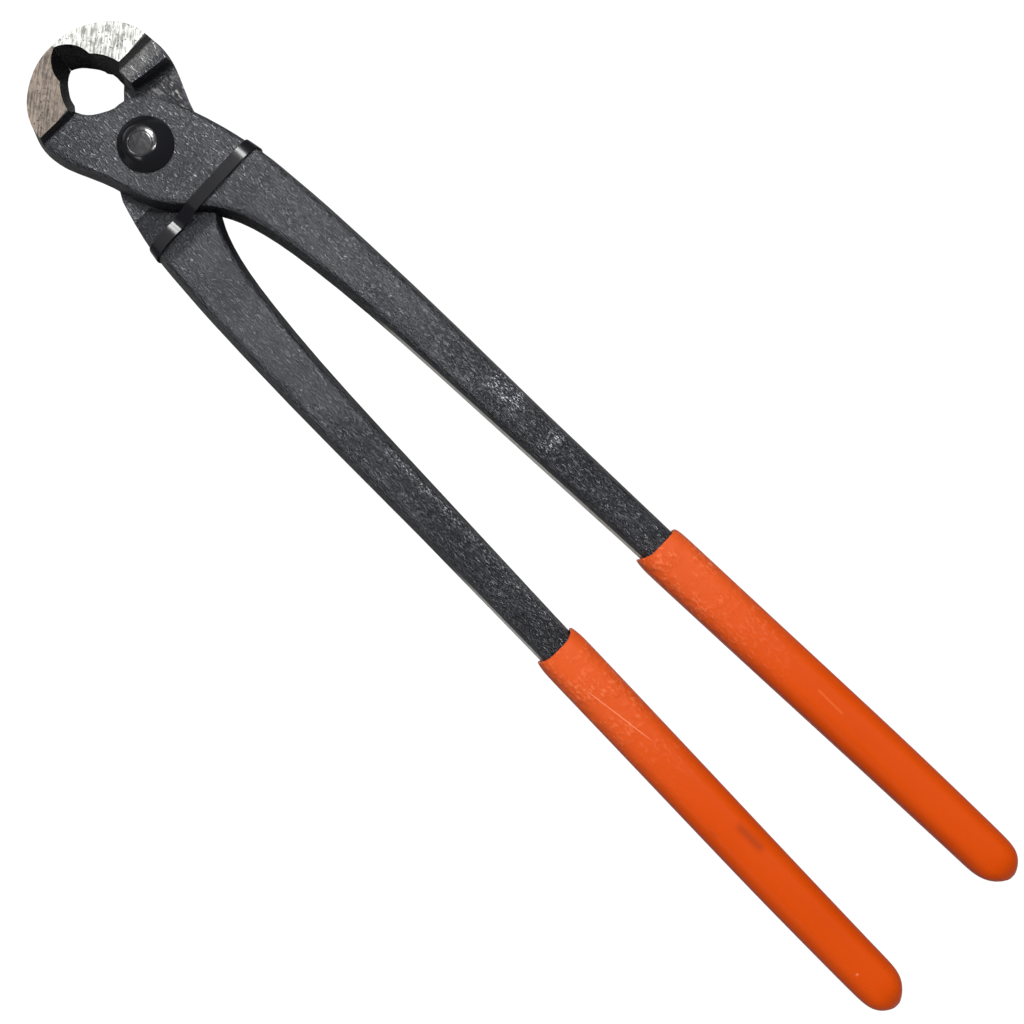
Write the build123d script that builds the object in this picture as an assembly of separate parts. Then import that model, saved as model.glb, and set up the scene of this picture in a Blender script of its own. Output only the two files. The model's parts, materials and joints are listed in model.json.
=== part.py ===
from build123d import *
import math
import os

os.makedirs("parts", exist_ok=True)

# Rebar tying pliers, 300 mm, lying flat with the jaws closed.
# Two equal forged arms lap on one rivet. The rear arm is the front arm turned half a turn about
# the length of the tool. Everything is drawn about the rivet first: X runs from the jaws to the
# handles, Y across the tool, Z along the rivet with the front face up. The last step moves it all
# so that the origin is the middle of the surface that the tool lies on.

# Jaws, from the rivet's axis
jaw_reach = 31.1            # to the nip
jaw_half_width = 18.6       # to the widest point of one jaw
jaw_thickness = 18.5        # over the two ground faces
nip_gap = 0.1               # between the closed cutting edges
nip_land = 0.9              # flat of each cutting edge
jaw_step_x = 17.3           # the ground face ends here in a step down to the lap plate
jaw_step_run = 0.5

# Throat, where the tying wire lies
cusp_x = 23.5
cusp_depth = 4.75
throat_depth = 8.2
throat_lip = 1.2            # the plate stands this far into the throat
pad_edge = 7.0              # the pad before the pocket wall ends here, square to the wall
nip_bow_share = -0.16       # rise of the throat's arcs over their chords, from the nip inwards
jaw_bow_share = -0.08
lip_bow_share = -0.125

# Lap plates and rivet
plate_thickness = 6.25      # one plate
lap_gap = 0.05              # from each plate to the lap plane
lap_disc_radius = 10.85
disc_start = 180            # degrees, the round edge of the plate runs from here
disc_end = 100              # to here
waist_half_width = 13.2
shoulder_half_width = 18.35
fork_reach = 23.4           # to the point where the handles part
pocket_wall_x = 14.4        # wall behind the jaw, at the tool's middle line
pocket_wall_lean = 3.0      # how far the wall runs back towards the rivet at its outer end
wall_bow_share = 0.03
foot_radius = 1.8           # hollow round along the foot of the wall
forge_bevel = 0.5           # worn bevel of the forged edges
ramp_start = 9.5            # the lap plane rises from here to the handle's face
ramp_end = 24.5
mate_clearance = 0.3
shank_radius = 4.0
bore_clearance = 0.05
head_radius = 6.7
head_height = 3.5
head_rim = 0.7              # upright rim of the rivet head
head_shoulder_radius = 5.15 # the bevel grows flatter from here
head_shoulder_height = 2.65
head_flat_radius = 2.8

# Handles, at the grip's mouth unless said
arm_reach = 252.0           # to the bar's end, inside the grip
handle_offset = 16.9        # axis of the tool to the bar's middle line
bar_width = 9.8
bar_thickness = 8.6
fork_bar_thickness = 9.4    # where the plate has thinned to a bar
fork_bar_x = 46.0
nip_draft = 2.0             # degrees, side of the jaw at the nip
head_draft = 8.0            # degrees, forged sides of the jaw and plate
bar_draft = 15.0            # degrees, forged sides of the bar

# Grips
grip_mouth = 150.4
front_grip_reach = 267.2
rear_grip_reach = 268.8
grip_wall = 1.4
lip_wall = 0.8              # wall at the very mouth
lip_run = 3.6
grip_corner = 4.3
grip_cap = 9.7              # length of the rounded end
grip_stations = 4           # sections along the body
cap_angles = (20, 40, 58, 74, 85)   # degrees, sections round the end

# Nylon tie round both handles, just behind the rivet
tie_x = 17.8
tie_skew = 2.9              # degrees
tie_width = 3.1
tie_thickness = 0.8
tie_clearance = 0.12
tie_arch = 0.4              # the stiff strap stands off the plate between its bends
tie_bend_y = 13.8
tie_bend_radius = 0.5
tie_head_length = 5.4
tie_head_width = 4.8
tie_head_height = 2.9
tie_head_edge = 0.6
tie_tail = 1.6

overrun = 5.0               # every cut runs past the metal by this much

# Outline of the front arm at its parting line, in shares chosen by eye.
# Jaw side, x of jaw_reach and y of jaw_half_width.
jaw_edge_shares = (
    (-1.0, 0.0), (-0.981, 0.301), (-0.913, 0.570), (-0.768, 0.857), (-0.604, 0.986),
    (-0.489, 1.0), (-0.331, 0.947), (-0.177, 0.839),
)
# Jaw side of the plate down to the fork, x of fork_reach and y of waist_half_width.
waist_shares = ((0.021, 1.0), (0.260, 0.879), (0.468, 0.720), (0.692, 0.439), (0.966, 0.030))
# Handle side of the plate, x of fork_reach and y of shoulder_half_width.
shoulder_shares = ((-0.171, 0.610), (0.021, 0.703), (0.171, 0.768), (0.577, 0.913), (0.983, 1.0))
# Bar, x of the run from the fork to the bar's end, middle line of handle_offset, width of bar_width.
bar_shares = (
    (0.0192, 0.621, 1.684), (0.0464, 0.692, 1.541), (0.0989, 0.772, 1.398), (0.195, 0.854, 1.260),
    (0.3526, 0.917, 1.122), (0.5538, 1.0, 1.0), (0.7157, 1.068, 0.990), (0.860, 1.143, 0.964),
    (1.0, 1.186, 0.918),
)

half_jaw = jaw_thickness / 2
plate_face = plate_thickness
bore_radius = shank_radius + bore_clearance
rest_level = plate_face + lap_gap + head_height
middle_x = (rear_grip_reach - jaw_reach) / 2


def bar_at(x):
    """Middle line and width of the bar at x, level past its two ends."""
    stations = [
        (fork_reach + t * (arm_reach - fork_reach), c * handle_offset, w * bar_width)
        for t, c, w in bar_shares
    ]
    if x <= stations[0][0]:
        return stations[0][1:]
    for (x0, c0, w0), (x1, c1, w1) in zip(stations, stations[1:]):
        if x <= x1:
            part = (x - x0) / (x1 - x0)
            return c0 + part * (c1 - c0), w0 + part * (w1 - w0)
    return stations[-1][1:]


def inner_edge():
    """Points from the nip round the jaw, past the rivet and along the bar's inner side."""
    jaw = [(x * jaw_reach, -y * jaw_half_width) for x, y in jaw_edge_shares]
    waist = [(x * fork_reach, -y * waist_half_width) for x, y in waist_shares]
    run = arm_reach - fork_reach
    bar = [(fork_reach + t * run, c * handle_offset - w * bar_width / 2) for t, c, w in bar_shares]
    return jaw + waist + bar


def outer_edge():
    """Points from the lap disc over the shoulder and along the bar's outer side."""
    shoulder = [(x * fork_reach, y * shoulder_half_width) for x, y in shoulder_shares]
    run = arm_reach - fork_reach
    bar = [(fork_reach + t * run, c * handle_offset + w * bar_width / 2) for t, c, w in bar_shares]
    return shoulder + bar


def draft_inset(x, height):
    """How far the drafted side has come in at this height above the parting line."""
    bar_share = min(max((x - ramp_start) / (fork_bar_x - ramp_start), 0), 1)
    nip_share = min(max((-x - jaw_step_x) / (jaw_reach - jaw_step_x), 0), 1)
    angle = head_draft + bar_share * (bar_draft - head_draft) + nip_share * (nip_draft - head_draft)
    return height * math.tan(math.radians(angle))


def stood_off(points, i, distance):
    """Point i of an edge, moved by a distance square to the edge, to the left of its run."""
    x, y = points[i]
    x0, y0 = points[max(i - 1, 0)]
    x1, y1 = points[min(i + 1, len(points) - 1)]
    length = math.hypot(x1 - x0, y1 - y0)
    return x - (y1 - y0) * distance / length, y + (x1 - x0) * distance / length


def moved_in(points, height, side):
    """The same edge at a height: each point moves square to the edge, into the metal."""
    result = [
        stood_off(points, i, draft_inset(x, height) * side) for i, (x, y) in enumerate(points)
    ]
    result[-1] = (points[-1][0], result[-1][1])
    return result


def arm_outline(height):
    """Closed outline of the arm at a height, with spare metal where the throat is cut later."""
    inner = Spline(*moved_in(inner_edge(), height, 1))
    outer = Spline(*moved_in(outer_edge(), height, -1))
    spare = Polyline(
        outer @ 0, (-lap_disc_radius, lap_disc_radius), (-jaw_reach, overrun), inner @ 0
    )
    end = Line(inner @ 1, outer @ 1)
    edges = inner.edges() + end.edges() + outer.edges() + spare.edges()
    return Pos(0, 0, height) * make_face(edges)


def side_profile():
    """Heights of the arm seen from the side: ground jaw, lap plate, tapering bar."""
    top = [
        (-jaw_reach - overrun, half_jaw),
        (-jaw_step_x, half_jaw),
        (-jaw_step_x + jaw_step_run, plate_face),
        (ramp_end, plate_face),
        (fork_bar_x, fork_bar_thickness / 2),
        (arm_reach, bar_thickness / 2),
    ]
    bottom = [(x, -z) for x, z in reversed(top)]
    face = make_face(Polyline(*top, *bottom, close=True))
    depth = 2 * (jaw_half_width + handle_offset)
    return extrude(Plane.XZ * face, amount=depth, both=True)


def throat_cut():
    """Everything between the jaw and the other arm: the throat, the nip and round the lap disc."""
    nip_y = -nip_gap / 2
    nip_end = (-jaw_reach + nip_land, nip_y)
    cusp = (-cusp_x, -cusp_depth)
    step = (-jaw_step_x, -throat_depth)
    lip = (-jaw_step_x + jaw_step_run, -throat_depth + throat_lip)
    foot = polar(lap_disc_radius, disc_start)
    side = polar(lap_disc_radius, (disc_start + disc_end) / 2)
    crown = polar(lap_disc_radius, disc_end)
    shoulder = outer_edge()[2]
    beyond = (2 * shoulder[0] - crown[0], 2 * shoulder[1] - crown[1])
    path = (
        Line((-jaw_reach - overrun, nip_y), nip_end).edges()
        + bowed(nip_end, cusp, nip_bow_share).edges()
        + bowed(cusp, step, jaw_bow_share).edges()
        + Line(step, lip).edges()
        + bowed(lip, foot, lip_bow_share).edges()
        + ThreePointArc(foot, side, crown).edges()
        + Polyline(
            crown,
            beyond,
            (beyond[0], jaw_half_width + overrun),
            (-jaw_reach - overrun, jaw_half_width + overrun),
            (-jaw_reach - overrun, nip_y),
        ).edges()
    )
    return extrude(make_face(path), amount=jaw_thickness, both=True)


def polar(radius, degrees):
    angle = math.radians(degrees)
    return radius * math.cos(angle), radius * math.sin(angle)


def bowed(start, end, rise):
    """Arc from start to end whose middle stands off the chord to its left by a share of it."""
    dx, dy = end[0] - start[0], end[1] - start[1]
    middle = ((start[0] + end[0]) / 2 - dy * rise, (start[1] + end[1]) / 2 + dx * rise)
    return ThreePointArc(start, middle, end)


def lap_pocket(mate_outline):
    """Room on the back of the arm for the other arm's plate, from the jaw wall to the ramp."""
    floor = lap_gap
    deep = -jaw_thickness
    wide = 2 * (jaw_half_width + handle_offset)
    ramp_run = ramp_end - ramp_start
    slope = plate_face / ramp_run
    profile = make_face(Polyline(
        (-pocket_wall_x - overrun, floor),
        (ramp_start, floor),
        (ramp_end + overrun, floor - slope * (ramp_run + overrun)),
        (ramp_end + overrun, deep),
        (-pocket_wall_x - overrun, deep),
        close=True,
    ))
    trough = extrude(Plane.XZ * profile, amount=wide, both=True)
    wall_foot = (-pocket_wall_x, 0)
    wall_end = (-pocket_wall_x + pocket_wall_lean, -jaw_half_width)
    wall = bowed(wall_foot, wall_end, wall_bow_share)
    reach = make_face(
        wall.edges()
        + Polyline(
            wall_end,
            (wall_end[0], -wide),
            (arm_reach, -wide),
            (arm_reach, wide),
            (-pocket_wall_x, wide),
            wall_foot,
        ).edges()
    )
    pocket = trough & extrude(reach, amount=jaw_thickness, both=True)
    foot = pocket.edges().sort_by_distance((wall @ 0.5) + (0, 0, floor))[0]
    pocket = fillet(foot, foot_radius)
    mate = Pos(0, 0, floor) * extrude(mate_outline, amount=deep)
    return pocket + mate


def pad_relief():
    """Squares the edge of the pad that is left between the jaw's step and the pocket wall."""
    far = -pocket_wall_x + pocket_wall_lean
    side = make_face(Polyline(
        (-jaw_step_x, -pad_edge), (far, -pad_edge), (far, pad_edge), (-jaw_step_x, pad_edge),
        close=True,
    ))
    return Pos(0, 0, lap_gap) * extrude(side, amount=-jaw_thickness)


def mate_plate_outline():
    """The other arm's plate ahead of the fork, grown by the clearance."""
    lower = [(x, -y) for x, y in inner_edge()]
    first = len(jaw_edge_shares)
    edge = lower[first:first + len(waist_shares) + 1]
    grown = [stood_off(edge, i, mate_clearance) for i in range(len(edge))]
    curve = Spline(*grown)
    below = -waist_half_width - overrun
    closing = Polyline(curve @ 1, (grown[-1][0], below), (grown[0][0], below), curve @ 0)
    return make_face(curve.edges() + closing.edges())


def forged_arm():
    """The front arm: its jaw on the -Y side, its handle on the +Y side."""
    parting = arm_outline(0)
    crest = arm_outline(half_jaw)
    upper = loft([parting, crest], ruled=True)
    blank = (upper + mirror(upper, about=Plane.XY)) & side_profile()
    blank -= throat_cut()
    blank -= lap_pocket(mate_plate_outline())
    blank -= pad_relief()
    blank -= Cylinder(bore_radius, 2 * jaw_thickness)
    return chamfer(forged_edges(blank), forge_bevel)


def forged_edges(arm):
    """The long edges of the plate and the bar, front and back, which the die doesn't leave sharp."""
    lowest = (bar_thickness - forge_bevel) / 2

    def is_forged(edge):
        points = [edge @ 0, edge @ 0.5, edge @ 1]
        level = abs((edge % 0.5).Z) < math.sin(math.radians(bar_draft))
        high = min(abs(point.Z) for point in points) > lowest
        return level and high and edge.length > jaw_thickness and points[1].X > -jaw_step_x

    return arm.edges().filter_by(GeomType.BSPLINE).filter_by(is_forged)


def turned(shape):
    """A half turn about the length of the tool, which swaps front and rear."""
    return Rot(180, 0, 0) * shape


def rivet():
    """Shank with two equal heads: an upright rim, a bevel in two steps and a small flat."""
    seat = plate_face + lap_gap
    top = seat + head_height
    shank = [(0, 0), (shank_radius, 0), (shank_radius, seat)]
    rim = [(head_radius, seat), (head_radius, seat + head_rim)]
    shoulder = (head_shoulder_radius, seat + head_shoulder_height)
    half = Polyline(*shank, *rim, shoulder, (head_flat_radius, top), (0, top), close=True)
    head = revolve(Plane.XZ * make_face(half), axis=Axis.Z)
    return head + mirror(head, about=Plane.XY)


def grip_section(x, wall, scale):
    centre, width = bar_at(x)
    share = min(max((x - fork_bar_x) / (arm_reach - fork_bar_x), 0), 1)
    thickness = fork_bar_thickness + share * (bar_thickness - fork_bar_thickness)
    wide = (width + 2 * wall) * scale
    thick = (thickness + 2 * wall) * scale
    corner = (grip_corner - grip_wall + wall) * scale
    return Pos(x, centre, 0) * (Plane.YZ * RectangleRounded(wide, thick, corner))


def sleeve(reach, arm):
    """Sleeve grip on the front arm's bar: a swelling lip, a long body and a rounded blind end."""
    cap_start = reach - grip_cap
    body_start = grip_mouth + lip_run
    run = cap_start - body_start
    sections = [
        grip_section(grip_mouth, lip_wall, 1),
        grip_section(grip_mouth + lip_run / 3, (lip_wall + grip_wall) / 2, 1),
        grip_section(body_start, grip_wall, 1),
    ]
    for i in range(1, grip_stations + 1):
        sections.append(grip_section(body_start + run * i / grip_stations, grip_wall, 1))
    for degrees in cap_angles:
        angle = math.radians(degrees)
        sections.append(grip_section(cap_start + grip_cap * math.sin(angle), grip_wall, math.cos(angle)))
    return loft(sections, ruled=True) - arm


def cable_tie():
    """Nylon tie pulled tight round both arms, with its locking head at the back."""
    half_width = tie_width / 2
    side_y = curve_y(outer_edge(), tie_x + tie_width)
    front_edge_y = curve_y(inner_edge()[len(jaw_edge_shares):], tie_x) + draft_inset(tie_x, plate_face)
    slope = plate_face / (ramp_end - ramp_start)
    low = slope * (tie_x + tie_width - ramp_start) + lap_gap
    c = tie_clearance
    high = plate_face + c
    quarter = [
        (side_y + c, 0),
        (side_y - draft_inset(tie_x, plate_face) + c, high),
        (tie_bend_y, high + tie_arch),
        (front_edge_y - c, high + tie_arch),
        (front_edge_y - c - low, low + c),
        (-side_y + draft_inset(tie_x, low) - c, low + c),
    ]
    path = quarter + [(-y, -z) for y, z in quarter]
    inner = make_face(Polyline(*path, close=True))
    inner = fillet(inner.vertices(), tie_bend_radius)
    outer = offset(inner, amount=tie_thickness)
    band = extrude(Plane.YZ * (outer - inner), amount=half_width, both=True)
    head_y = (side_y - front_edge_y) / 2
    strap_back = -(low + c)
    head = Box(tie_head_width, tie_head_length, tie_head_height + tie_thickness)
    head = fillet(head.edges(), tie_head_edge)
    head_middle = strap_back - (tie_head_height + tie_thickness) / 2
    head = Pos(0, head_y, head_middle) * head
    tail = Box(tie_width, tie_tail + tie_head_edge, tie_thickness)
    tail = Pos(0, head_y - (tie_head_length + tie_tail) / 2, head_middle) * tail
    return Pos(tie_x, 0, 0) * (Rot(0, 0, tie_skew) * (band + head + tail))


def curve_y(points, x):
    """Y of the smooth curve through the points where it passes x, found by halving."""
    curve = Spline(*points)
    low, high = 0.0, 1.0
    for _ in range(40):
        middle = (low + high) / 2
        if (curve @ middle).X < x:
            low = middle
        else:
            high = middle
    return (curve @ low).Y


front_arm = forged_arm()
front_grip = sleeve(front_grip_reach, front_arm)
pieces = {
    "front_arm": front_arm,
    "rear_arm": turned(front_arm),
    "pivot_rivet": rivet(),
    "front_grip": front_grip,
    "rear_grip": turned(sleeve(rear_grip_reach, front_arm)),
    "nylon_tie": cable_tie(),
}
place = Pos(-middle_x, 0, rest_level)
for name, piece in pieces.items():
    export_step(place * piece, f"parts/{name}.step")
    print(name, round(piece.volume, 1), "mm3", len(piece.solids()), "solid")
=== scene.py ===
# %% [markdown]
# # Rebar tying pliers, dressed in Blender
# The pliers are two equal forgings that lap on one rivet. Each handle ends in a soft vinyl
# sleeve, and a nylon tie holds the jaws shut in the shop. The engineering model says how large
# each part is and where it lies. Here each part gets the surface that it has in the hand:
# hammered enamel, ground steel, soft vinyl and slick nylon.

# %% Load the frame
import bpy
import bmesh
import json
import math
from mathutils import Matrix, Vector


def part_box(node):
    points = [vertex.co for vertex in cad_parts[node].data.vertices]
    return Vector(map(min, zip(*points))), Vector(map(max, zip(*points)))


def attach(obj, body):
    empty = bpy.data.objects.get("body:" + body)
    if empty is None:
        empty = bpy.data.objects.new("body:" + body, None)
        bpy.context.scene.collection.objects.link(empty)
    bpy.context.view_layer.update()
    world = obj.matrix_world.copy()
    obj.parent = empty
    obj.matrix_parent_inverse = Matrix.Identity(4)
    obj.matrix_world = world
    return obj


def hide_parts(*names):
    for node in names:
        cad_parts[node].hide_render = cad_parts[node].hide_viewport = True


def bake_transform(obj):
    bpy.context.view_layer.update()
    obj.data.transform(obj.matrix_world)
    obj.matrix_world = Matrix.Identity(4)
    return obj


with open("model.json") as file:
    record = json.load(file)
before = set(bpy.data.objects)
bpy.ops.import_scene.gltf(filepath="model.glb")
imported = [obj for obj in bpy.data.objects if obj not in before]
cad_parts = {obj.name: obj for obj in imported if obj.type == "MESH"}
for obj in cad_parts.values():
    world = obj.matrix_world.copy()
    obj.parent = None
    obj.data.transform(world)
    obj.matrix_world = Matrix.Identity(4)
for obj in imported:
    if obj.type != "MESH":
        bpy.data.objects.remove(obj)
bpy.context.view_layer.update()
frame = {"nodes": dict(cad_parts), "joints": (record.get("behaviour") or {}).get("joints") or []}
MM = 0.001
pivot = Vector(frame["joints"][0]["pos_m"])
print("nodes:", sorted(frame["nodes"]))
print("pivot in millimetres:", [round(c / MM, 2) for c in pivot])

# %% [markdown]
# The camera looks down on the tool from about 40 cm, a little from the side of the lower handle.
# The tool lies along the diagonal of the picture, with its jaws at the upper left. A constraint
# could aim the camera at the tool but would not turn the picture. So the camera's three
# directions are worked out here, and its lens needs no shift.

# %% Camera
camera_rise = 405 * MM
camera_aside = -23.8 * MM
camera_lens = 60
from_pivot = Vector((121.4, -1.5, 0)) * MM
tool_turn = math.radians(0.40)

look_at = pivot + from_pivot
along = Vector((math.cos(tool_turn), -math.sin(tool_turn), 0))
across = Vector((math.sin(tool_turn), math.cos(tool_turn), 0))
back = Vector((0, camera_aside, camera_rise)).normalized()
rough_up = (across - along).normalized()
up = (rough_up - back * rough_up.dot(back)).normalized()
right = up.cross(back)
turned = Matrix((right, up, back)).transposed()
bpy.ops.object.camera_add(location=look_at + Vector((0, camera_aside, camera_rise)))
camera = bpy.context.object
camera.rotation_euler = turned.to_euler()
camera.data.lens = camera_lens
bpy.context.scene.camera = camera
print("camera in millimetres:", [round(c / MM, 1) for c in camera.location])

# %% [markdown]
# A product photo on white is lit by soft lamps from above. A single one would leave the bars
# without form, so there are five here. A broad one hangs overhead. Two small, harder ones stand
# high beyond the upper handle, one towards the jaws and one towards the grips, and pick out
# every bump. A larger one on the near side lifts the lower edges, and one past the jaws fills
# in their ends.

# %% Lamps
# Name, place from the tool's middle and two sizes in millimetres, power in watts.
studio_lamps = (
    ("overhead", (-170, 0, 900), (1000, 560), 2.7),
    ("key", (-380, 290, 880), (130, 130), 6.0),
    ("far_key", (110, 300, 880), (130, 130), 3.0),
    ("front", (150, -640, 640), (300, 300), 2.0),
    ("fill", (-840, 0, 480), (420, 420), 1.3),
)


def soft_lamp(name, place, size, power):
    """A rectangular lamp that faces the tool's middle."""
    middle = Vector((0, 0, pivot.z))
    spot = middle + Vector(place) * MM
    bpy.ops.object.light_add(type="AREA", location=spot)
    lamp = bpy.context.object
    lamp.name = name
    lamp.data.shape = "RECTANGLE"
    lamp.data.size = size[0] * MM
    lamp.data.size_y = size[1] * MM
    lamp.data.energy = power
    lamp.rotation_euler = (spot - middle).to_track_quat("Z", "Y").to_euler()
    print("lamp:", lamp.name)


for lamp_row in studio_lamps:
    soft_lamp(*lamp_row)

# %% The room's own light
room_colour = (0.92, 0.96, 1, 1)
room_strength = 0.10

world = bpy.data.worlds.new("studio")
world.use_nodes = True
sky = world.node_tree.nodes["Background"]
sky.inputs["Color"].default_value = room_colour
sky.inputs["Strength"].default_value = room_strength
bpy.context.scene.world = world
bpy.context.scene.view_settings.view_transform = "Standard"
print("world:", world.name)

# %% [markdown]
# The table is white where the camera sees it but sends little light back, so that the sides of
# the black forgings stay dark, as they do in the photo. A plain white table would light them
# from below. A Light Path node tells the two cases apart.

# %% Table
table_size = 4
table_colour = (0.20, 0.20, 0.20, 1)
table_roughness = 0.9
table_glow = 1.05


def new_material(name):
    """An empty node material, its node tree and its main shader."""
    made = bpy.data.materials.new(name)
    made.use_nodes = True
    tree = made.node_tree
    return made, tree, tree.nodes["Principled BSDF"]


bpy.ops.mesh.primitive_plane_add(size=table_size)
table = bpy.context.object
table.name = "table"
table_white, tree, shader = new_material("table_white")
shader.inputs["Base Color"].default_value = table_colour
shader.inputs["Roughness"].default_value = table_roughness
seen = tree.nodes.new("ShaderNodeLightPath")
bright = tree.nodes.new("ShaderNodeEmission")
bright.inputs["Strength"].default_value = table_glow
mix = tree.nodes.new("ShaderNodeMixShader")
tree.links.new(seen.outputs["Is Camera Ray"], mix.inputs["Fac"])
tree.links.new(shader.outputs["BSDF"], mix.inputs[1])
tree.links.new(bright.outputs["Emission"], mix.inputs[2])
tree.links.new(mix.outputs["Shader"], tree.nodes["Material Output"].inputs["Surface"])
table.data.materials.append(table_white)
print("table:", table_size, "metres wide")

# %% [markdown]
# Every finish here is built from the same few nodes, so small helpers keep the materials short.
# The patterns read Object coordinates, in millimetres, so that they are fixed to the metal.
# Painted images could carry more detail, but they would need unwrapping and blur up close.

# %% Nodes by name
def add(tree, kind, **values):
    """A new node with some inputs or settings given by name."""
    node = tree.nodes.new("ShaderNode" + kind)
    for key, value in values.items():
        label = key.replace("_", " ")
        if label in node.inputs:
            node.inputs[label].default_value = value
        else:
            setattr(node, key, value)
    return node


def math_node(tree, operation, a, b):
    """The result of one operation on two values, each of them a number or a socket."""
    made = add(tree, "Math", operation=operation)
    for socket, value in zip(made.inputs, (a, b)):
        if isinstance(value, (int, float)):
            socket.default_value = value
        else:
            tree.links.new(value, socket)
    return made.outputs["Value"]


def times(tree, *factors):
    """The product of two or more values."""
    result = factors[0]
    for factor in factors[1:]:
        result = math_node(tree, "MULTIPLY", result, factor)
    return result


# %% Noise and ramps
def pattern_space(tree, stretch, turn):
    """Object coordinates in millimetres, turned about Z, then squeezed along each axis."""
    where = add(tree, "TexCoord")
    spin = add(tree, "Mapping", Rotation=(0, 0, math.radians(turn)))
    scale = add(tree, "Mapping", Scale=tuple(s / MM for s in stretch))
    tree.links.new(where.outputs["Object"], spin.inputs["Vector"])
    tree.links.new(spin.outputs["Vector"], scale.inputs["Vector"])
    return scale.outputs["Vector"]


def noise(tree, size, stretch=(1, 1, 1), detail=3.0, roughness=0.5, turn=0.0):
    """Noise whose grains are about size millimetres, longer along an axis with a small stretch.
    The turn is in degrees."""
    made = add(tree, "TexNoise", Scale=1 / size, Detail=detail, Roughness=roughness)
    tree.links.new(pattern_space(tree, stretch, turn), made.inputs["Vector"])
    return made.outputs["Fac"]


def ramp(tree, value, low, high, start=0.0, end=1.0):
    """The value stretched so that low becomes start and high becomes end, and held there."""
    made = add(tree, "MapRange", interpolation_type="SMOOTHSTEP")
    made.inputs["From Min"].default_value = low
    made.inputs["From Max"].default_value = high
    made.inputs["To Min"].default_value = start
    made.inputs["To Max"].default_value = end
    tree.links.new(value, made.inputs["Value"])
    return made.outputs["Result"]


# %% Colours and relief
# A Mix node has inputs and outputs for each kind of data, and these are the ones for colours.
mix_inputs = (6, 7)
mix_output = 2


def blend_colours(tree, share, first, second):
    """The first colour where share is 0, the second where it is 1."""
    made = add(tree, "Mix", data_type="RGBA")
    tree.links.new(share, made.inputs["Factor"])
    for index, colour in zip(mix_inputs, (first, second)):
        if isinstance(colour, tuple):
            made.inputs[index].default_value = (*colour, 1)
        else:
            tree.links.new(colour, made.inputs[index])
    return made.outputs[mix_output]


def relief(tree, shader, layers):
    """Bumps the shader's surface with layers of (height pattern, height in millimetres)."""
    normal = None
    for pattern, height in layers:
        bump = add(tree, "Bump", Strength=1.0, Distance=height * MM)
        tree.links.new(pattern, bump.inputs["Height"])
        if normal:
            tree.links.new(normal, bump.inputs["Normal"])
        normal = bump.outputs["Normal"]
    tree.links.new(normal, shader.inputs["Normal"])


# %% Places on the tool
def placed(tree):
    """X, Y and Z in millimetres from the middle of the pivot."""
    where = add(tree, "TexCoord")
    scale = add(tree, "Mapping", Location=tuple(-c / MM for c in pivot), Scale=(1 / MM,) * 3)
    parts = add(tree, "SeparateXYZ")
    tree.links.new(where.outputs["Object"], scale.inputs["Vector"])
    tree.links.new(scale.outputs["Vector"], parts.inputs["Vector"])
    return parts.outputs["X"], parts.outputs["Y"], parts.outputs["Z"]


def between(tree, value, low, high, soft):
    """1 where the value lies between low and high, fading to 0 over soft at each end."""
    rises = ramp(tree, value, low - soft / 2, low + soft / 2)
    falls = ramp(tree, value, high - soft / 2, high + soft / 2, 1.0, 0.0)
    return math_node(tree, "MULTIPLY", rises, falls)


def region(tree, x_span, y_span, soft):
    """1 inside a rectangle of x and y in millimetres from the pivot, with soft edges."""
    x, y, _ = placed(tree)
    in_x = between(tree, x, *x_span, soft)
    in_y = between(tree, y, *y_span, soft)
    return math_node(tree, "MULTIPLY", in_x, in_y)


# %% [markdown]
# The forgings keep the skin that the hammer and the tumbling left: fine ripples along the tool,
# grains between them, and here and there a dent. Thin black enamel follows all of it. So the
# enamel is one dark glossy colour, with painted light on the crests and grains and painted shade
# in the hollows, and nearly all that the eye sees is its relief. Real dents of this size would
# take far too many faces, so the relief is a bump in the material.

# %% The skin of the forgings
# Each noise is its size in millimetres, its stretch along each axis, detail and roughness.
ripple_noise = (0.45, (0.27, 1, 1), 3.0, 0.6)
grain_noise = (0.32, (0.40, 1, 1), 2.0, 0.6)
patch_noise = (9.0, (0.5, 1, 1), 2.0)
wave_noise = (5.0, (0.6, 1, 1), 1.0)
ripple_rise = (0.38, 0.63)
patch_rise = (0.40, 0.60)
patch_depths = (0.75, 1.0)
# The ripples get deeper along the handles, from the first x to the second.
handle_span = (50, 140)
handle_depths = (1.0, 2.4)
print("ripples of", ripple_noise[0], "mm, grains of", grain_noise[0], "mm")


def forged_skin(tree):
    """The patterns of the skin: ripples, grains, patches and waves, and how deep ripples go."""
    ripple = ramp(tree, noise(tree, *ripple_noise), *ripple_rise)
    grain = noise(tree, *grain_noise)
    patches = noise(tree, *patch_noise)
    wave = noise(tree, *wave_noise)
    x, _, _ = placed(tree)
    by_patch = ramp(tree, patches, *patch_rise, *patch_depths)
    by_place = ramp(tree, x, *handle_span, *handle_depths)
    return ripple, grain, patches, wave, times(tree, by_patch, by_place)


# %% [markdown]
# Enamel wears where the tool is knocked and rubbed. Where the two halves of the die met, it has
# come off the ridge, and bare metal shows as a thin line along the handle. That line is painted
# pale: bare metal, and a painted reflection of the pale room in the dark side. On the rear arm
# it has chipped beside the front plate and is rubbed thin next to the ground face. All of these
# are zones on the tool. Noise breaks up the chipped and the rubbed one, because a clean patch
# would look painted on.

# %% Worn places and a painted reflection
wear_noise = (1.6, (0.5, 1, 1), 3.0, 0.7)
wear_rise = (0.56, 0.62)
rub_rise = (0.35, 0.65)
rub_weights = (0.12, 0.30)
ridge_span = (-1.6, 1.9)
# How wide each zone's edge fades, in millimetres.
ridge_soft = 0.4
band_soft = 12.0
chip_soft = 3.0
pad_soft = 1.0
glint_soft = 2.5


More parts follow.
